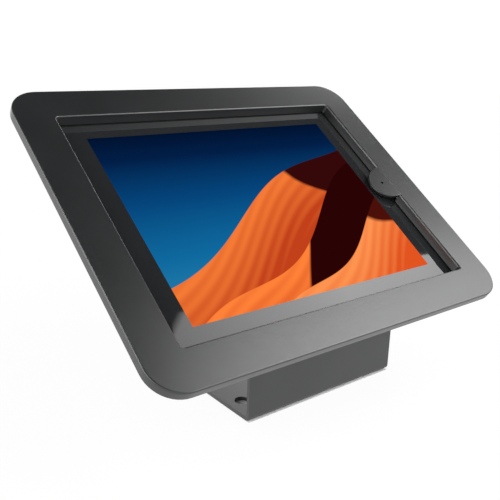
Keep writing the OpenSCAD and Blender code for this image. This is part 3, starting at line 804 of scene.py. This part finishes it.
def copyTo(piece, name, place):
    selectOnly(piece)
    bpy.ops.object.duplicate(linked=False)
    copy = bpy.context.object
    copy.name = copy.data.name = name
    placePiece(copy, place)
    leanPiece(copy)
    return copy


def makeScrew(w):
    start = w["tail"] + w["lead"]
    thread = [(w["root"], w["tail"])]
    for turn in range(int((w["threadTop"] - start) / w["pitch"])):
        level = start + turn * w["pitch"]
        thread += [(w["shank"], level), (w["root"], level + w["pitch"] / 2)]
    screw = turnPiece("fixingScrew", thread + [(w["shank"], w["threadTop"])] + w["head"], w["steps"])
    radius, deep = w["socket"]
    top = w["head"][-1][1]
    combine(screw, [addRod("socket", radius, deep * 2, (0, 0, top), (0, 0, hexTurn), hexSides)], "DIFFERENCE")
    return screw


def makeNut(n):
    flank = n["across"] / 2
    corner = flank / math.cos(hexTurn)
    middle, tall = (n["low"] + n["top"]) / 2, n["top"] - n["low"]
    nut = addRod("fixingNut", corner, tall, (0, 0, middle), (0, 0, hexTurn), hexSides)
    wide = corner + n["spare"]
    corners = turnPiece("corners", [(flank, n["low"]), (wide, n["low"] + n["chamfer"]),
                                    (wide, n["top"] - n["chamfer"]), (flank, n["top"])], n["steps"])
    combine(nut, [corners], "INTERSECT")
    combine(nut, [addRod("bore", n["bore"], n["drill"], (0, 0, middle))], "DIFFERENCE")
    return nut


screwPattern, nutPattern = makeScrew(fixingScrew), makeNut(fixingNut)
for turn, spot in enumerate(fixingSpots(fixings, 0), 1):
    finishPiece(copyTo(screwPattern, "fixingScrew%d" % turn, spot), "stand", ["bracket_screws"], zincSteel)
    finishPiece(copyTo(nutPattern, "fixingNut%d" % turn, spot), "stand", ["bracket_nuts"], zincSteel)
bpy.data.objects.remove(screwPattern)
bpy.data.objects.remove(nutPattern)

# Hinge pins: plain rods with turned ends
hingePin = {"profile": [(1.05, -18.2), (1.5, -17.75), (1.5, 17.75), (1.05, 18.2)], "steps": 32}
for side, x in zip(("Left", "Right"), hinge["places"]):
    pin = turnPiece("hingePin" + side, hingePin["profile"], hingePin["steps"])
    placePiece(pin, (0, 0, 0), (0, quarterTurn, 0))
    placePiece(pin, (x, *hinge["line"]))
    leanPiece(pin)
    finishPiece(pin, "stand", ["hinge_pins"], zincSteel)

# Cam lock: a turned body through the flange and a brass plug with a key slot
camLock = {
    "bodySteps": 64, "plugSteps": 48, "plugEdge": 0.12,
    "body": [(2.943, -9.5), (3.3, -9.5), (3.5, -9.2), (4.6, -9.2), (4.8, -9.5), (5.2, -9.5), (5.589, -9.1),
             (5.589, -1.1), (4.6, -1.1), (4.6, 0.9), (3.906, 0.9), (3.906, 1.604), (4.6, 1.604), (4.6, 2.15),
             (4.35, 2.396), (2.943, 2.396)],
    "plug": [(2.55, -9.2), (2.893, -8.85), (2.893, 2.802)], "drive": (1.7935, 2.6, 4.2),
    "keySlot": ((-0.5, -1.88, -10), (0.5, 1.88, -3.2)), "screwHole": (1.01, 1.3, 5),
}


def makeCamLock(c):
    body = turnPiece("lockBody", c["body"], c["bodySteps"], closed=True)
    placePiece(body, shared["lock"])
    leanPiece(body)
    finishPiece(body, "stand", ["lock_body"], zincSteel)
    plug = turnPiece("lockPlug", c["plug"], c["plugSteps"])
    half, low, high = c["drive"]
    combine(plug, [addBlock("drive", (-half, -half, low), (half, half, high))], "UNION")
    radius, foot, top = c["screwHole"]
    screwHole = addRod("screwHole", radius, top - foot, (0, 0, (foot + top) / 2))
    combine(plug, [addBlock("keySlot", *c["keySlot"]), screwHole], "DIFFERENCE")
    softenEdges(plug, c["plugEdge"])
    placePiece(plug, shared["lock"])
    leanPiece(plug)
    finishPiece(plug, "lock", ["lock_plug"], turnedBrass)


makeCamLock(camLock)

# Pieces whose plain shape is right keep it and get their real finish
carried = {
    "latch_keeper": zincSteel, "lock_clip": zincSteel, "lock_cam": zincSteel, "cam_screw": zincSteel,
    "tablet_display": panelCase, "tablet_battery": cellWrap, "tablet_board": circuitLacquer,
}
for node, material in carried.items():
    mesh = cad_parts[node].data
    mesh.materials.clear()
    mesh.materials.append(material)
print("carried nodes", len(carried))

# Stage: a white floor, a sky that is pale low down, and softboxes: one high and one low at the front right,
# one behind at the right, and two long ones at the left
evenFade, softFade = [(0.0, 1.0), (1.0, 1.0)], [(0.0, 0.8), (0.5, 1.0), (1.0, 0.8)]
stage = {
    "floor": 6, "floorLevel": -0.0003, "glow": 0.94, "albedo": 0.9,
    "near": 0.25, "far": 0.75,  # metres from the stand between which the shade fades out
    "plate": (60.8, 59.8),  # half size of the desk plate, under which the floor is dark
    "sky": [(0.0, 1.5), (0.48, 1.5), (0.62, 0.05), (1.0, 0.04)],
    "rightDim": 0.2, "rightFrom": (0.88, 0.95),  # the sky low at the right is darker
    "boxes": {  # the fade runs along the box, brightest over its bulb
        "keyBox": {"watts": 17, "size": (1.015, 0.897), "toward": (0.66, -0.40, 0.64),
                   "side": (0.713, 0.056, -0.699), "distance": 1.3, "shift": (0.0425, -0.05),
                   "fade": [(0.0, 0.54), (0.25, 0.80), (0.48, 1.0), (0.66, 0.82), (1.0, 0.2)],
                   "cut": {"slant": -1.5, "from": 0.92, "to": 0.97}},  # one corner of the box is folded away
        "lowBox": {"watts": 4.5, "size": (0.9, 0.62), "toward": (0.617, -0.737, 0.276), "side": (0.77, 0.63, 0),
                   "distance": 1.4, "fade": softFade},
        "rimBox": {"watts": 3.0, "size": (0.55, 0.37), "toward": (0.71, 0.497, 0.5), "side": (-0.574, 0.819, 0),
                   "distance": 1.4, "fade": evenFade},
        "sideBox": {"watts": 6.5, "size": (1.28, 0.22), "toward": (-0.623, 0.028, 0.78),
                    "side": (0.59, -0.333, 0.47), "distance": 1.4, "fade": evenFade},
        "leftBox": {"watts": 13, "size": (2.0, 0.5), "toward": (-0.97, 0.15, 0.19), "side": (0.15, 0.97, 0),
                    "distance": 1.4, "fade": softFade},
    },
}


def makeFloor(s):
    bpy.ops.object.select_all(action="DESELECT")
    bpy.ops.mesh.primitive_plane_add(size=s["floor"], location=(0, 0, s["floorLevel"]))
    floor = bpy.context.object
    floor.name = "studioFloor"
    paper = bpy.data.materials.new("whitePaper")  # matt card that glows white to the camera and in gloss
    paper.use_nodes = True
    tree = paper.node_tree
    tree.nodes.clear()
    spot = addNode(tree, "ShaderNodeTexCoord").outputs["Object"]
    away = addNode(tree, "ShaderNodeVectorMath", {"operation": "LENGTH"}, links={0: spot})
    glow = addNode(tree, "ShaderNodeMapRange", {},
                   {"From Min": s["near"], "From Max": s["far"], "To Min": s["glow"], "To Max": 1},
                   {"Value": away.outputs["Value"]})
    rays = addNode(tree, "ShaderNodeLightPath").outputs
    through = addNode(tree, "ShaderNodeMath", add, links={0: rays["Is Camera Ray"], 1: rays["Is Transmission Ray"]})
    seen = addNode(tree, "ShaderNodeMath", {**add, "use_clamp": True},
                   links={0: through.outputs[0], 1: rays["Is Glossy Ray"]})
    lit = addNode(tree, "ShaderNodeMath", multiply, links={0: seen.outputs[0], 1: glow.outputs[0]})
    axes = addNode(tree, "ShaderNodeSeparateXYZ", links={"Vector": spot})
    beyond = []
    for axis, half in zip("XY", s["plate"]):
        span = addNode(tree, "ShaderNodeMath", {"operation": "ABSOLUTE"}, links={0: axes.outputs[axis]})
        beyond.append(addNode(tree, "ShaderNodeMath", {"operation": "GREATER_THAN"}, {1: half * mm},
                              {0: span.outputs[0]}).outputs[0])
    clear = addNode(tree, "ShaderNodeMath", {"operation": "MAXIMUM"}, links={0: beyond[0], 1: beyond[1]})
    share = addNode(tree, "ShaderNodeMath", multiply, links={0: lit.outputs[0], 1: clear.outputs[0]})
    matt = addNode(tree, "ShaderNodeBsdfDiffuse", values={"Color": (s["albedo"],) * 3 + (1,)})
    white = addNode(tree, "ShaderNodeEmission", values={"Strength": 1})
    both = addNode(tree, "ShaderNodeMixShader", links={0: share.outputs[0], 1: matt.outputs[0], 2: white.outputs[0]})
    addNode(tree, "ShaderNodeOutputMaterial", links={"Surface": both.outputs[0]})
    floor.data.materials.append(paper)


def makeSky(s):
    world = bpy.data.worlds.new("studioSky")
    bpy.context.scene.world = world
    world.use_nodes = True
    tree = world.node_tree
    way = addNode(tree, "ShaderNodeTexCoord").outputs["Generated"]
    axes = addNode(tree, "ShaderNodeSeparateXYZ", links={"Vector": way})
    ramp = addNode(tree, "ShaderNodeValToRGB", links={"Fac": axes.outputs["Z"]})
    fillRamp(ramp.color_ramp, [(spot, (level, level, level, 1)) for spot, level in s["sky"]])
    tree.links.new(ramp.outputs["Color"], tree.nodes["Background"].inputs["Color"])
    start, end = s["rightFrom"]
    dim = addNode(tree, "ShaderNodeMapRange", {},
                  {"From Min": start, "From Max": end, "To Min": 1, "To Max": s["rightDim"]},
                  {"Value": axes.outputs["X"]})
    tree.links.new(dim.outputs[0], tree.nodes["Background"].inputs["Strength"])


def makeBox(name, box):
    toward = Vector(box["toward"]).normalized()
    side = Vector(box["side"])
    side = (side - side.dot(toward) * toward).normalized()
    up = toward.cross(side)
    lamp = bpy.data.lights.new(name, "AREA")
    lamp.shape, lamp.energy = "RECTANGLE", box["watts"]
    lamp.size, lamp.size_y = box["size"]
    lamp.use_nodes = True
    tree = lamp.node_tree
    place = addNode(tree, "ShaderNodeNewGeometry").outputs["Parametric"]
    axes = addNode(tree, "ShaderNodeSeparateXYZ", links={"Vector": place})
    ramp = addNode(tree, "ShaderNodeValToRGB", links={"Fac": axes.outputs["X"]})
    fillRamp(ramp.color_ramp, [(spot, (level, level, level, 1)) for spot, level in box["fade"]])
    tree.links.new(ramp.outputs["Color"], tree.nodes["Emission"].inputs["Color"])
    if "cut" in box:
        cut = box["cut"]
        fold = addNode(tree, "ShaderNodeMath", multiplyAdd, {1: cut["slant"]},
                       {0: axes.outputs["X"], 2: axes.outputs["Y"]})
        share = addNode(tree, "ShaderNodeMapRange", {},
                        {"From Min": cut["from"], "From Max": cut["to"], "To Min": 1, "To Max": 0},
                        {"Value": fold.outputs[0]})
        tree.links.new(share.outputs[0], tree.nodes["Emission"].inputs["Strength"])
    holder = bpy.data.objects.new(name, lamp)
    bpy.context.scene.collection.objects.link(holder)
    sideways, upward = box.get("shift", (0, 0))
    holder.location = Vector(lean["glassMid"]) * mm + toward * box["distance"] + side * sideways + up * upward
    turn = holder.rotation_euler.to_matrix()
    turn.col[0], turn.col[1], turn.col[2] = side, up, toward
    holder.rotation_euler = turn.to_euler()
    holder.visible_camera = False


makeFloor(stage)
makeSky(stage)
for name, box in stage["boxes"].items():
    makeBox(name, box)

# Camera at the photograph's place
view = {"place": (-0.28534, -0.33906, 0.21422), "turn": (73.218, -1.5527, -37.9916), "lens": 49.4417, "sensor": 36}
eye = bpy.data.cameras.new("photoCamera")
eye.lens, eye.sensor_width = view["lens"], view["sensor"]
camera = bpy.data.objects.new("photoCamera", eye)
camera.location = view["place"]
camera.rotation_euler = [math.radians(a) for a in view["turn"]]
bpy.context.scene.collection.objects.link(camera)
bpy.context.scene.camera = camera
bpy.context.scene.view_settings.view_transform = "Standard"
print("stage and camera ready")
